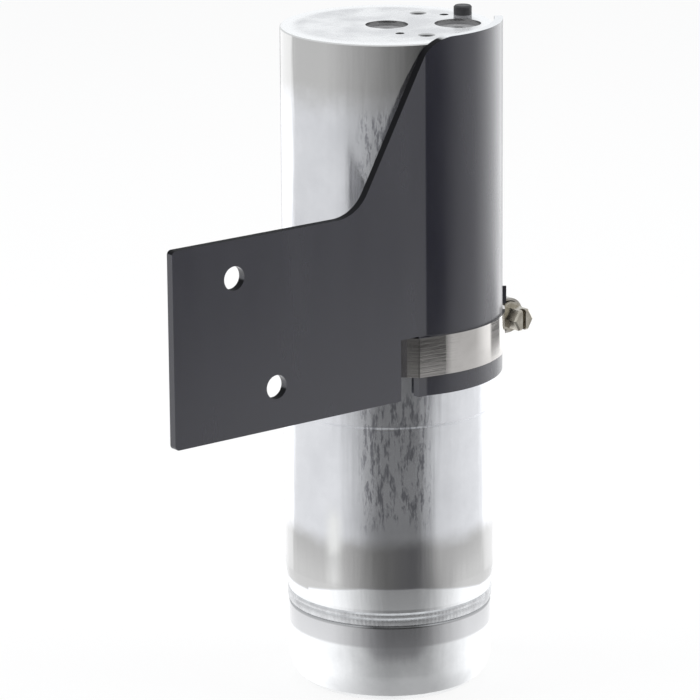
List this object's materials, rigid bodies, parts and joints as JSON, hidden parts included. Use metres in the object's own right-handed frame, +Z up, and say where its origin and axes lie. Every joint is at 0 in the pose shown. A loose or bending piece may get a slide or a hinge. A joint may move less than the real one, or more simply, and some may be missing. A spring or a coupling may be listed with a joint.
{
  "type": "receiver drier",
  "caption": "Upright cylindrical receiver drier with a machined ported head, strapped to a folded sheet-steel bracket by a worm-drive band clamp.",
  "frame": {"origin": "centre of the can's foot, on the surface it stands on", "axes": "+Z up along the can, the bracket's plate parallel to XZ on the -Y side and reaching towards -X, the clamp's screw on the +X side"},
  "size_m": [0.1745, 0.0809, 0.2474],
  "materials": {
    "can_metal": "drawn aluminium, machined on top",
    "cap_metal": "drawn aluminium",
    "weld_metal": "bare weld",
    "peg_plastic": "matt black",
    "bracket_coating": "satin black coating",
    "band_steel": "bright stainless",
    "housing_steel": "bright stainless",
    "clamp_plate_steel": "bright stainless",
    "screw_steel": "zinc plated",
    "tube_plastic": "natural nylon",
    "ring_rubber": "green rubber",
    "strainer_plastic": "moulded nylon",
    "mesh_plastic": "woven nylon",
    "retainer_steel": "pressed steel",
    "felt": "polyester felt",
    "desiccant": "packed beads",
    "spring_steel": "drawn wire"
  },
  "bodies": {
    "root": {"bottom_cap": "cap_metal", "canister_body": "can_metal", "clamp_band": "band_steel", "clamp_housing": "housing_steel", "clamp_plate": "clamp_plate_steel", "clamp_screw": "screw_steel", "desiccant_bed": "desiccant", "dip_tube": "tube_plastic", "dip_tube_o_ring": "ring_rubber", "locating_peg": "peg_plastic", "lower_filter_pad": "felt", "lower_retainer_plate": "retainer_steel", "mounting_bracket": "bracket_coating", "pack_spring": "spring_steel", "strainer_frame": "strainer_plastic", "strainer_mesh": "mesh_plastic", "upper_filter_pad": "felt", "upper_retainer_plate": "retainer_steel", "weld_bead": "weld_metal"}
  },
  "joints": []
}
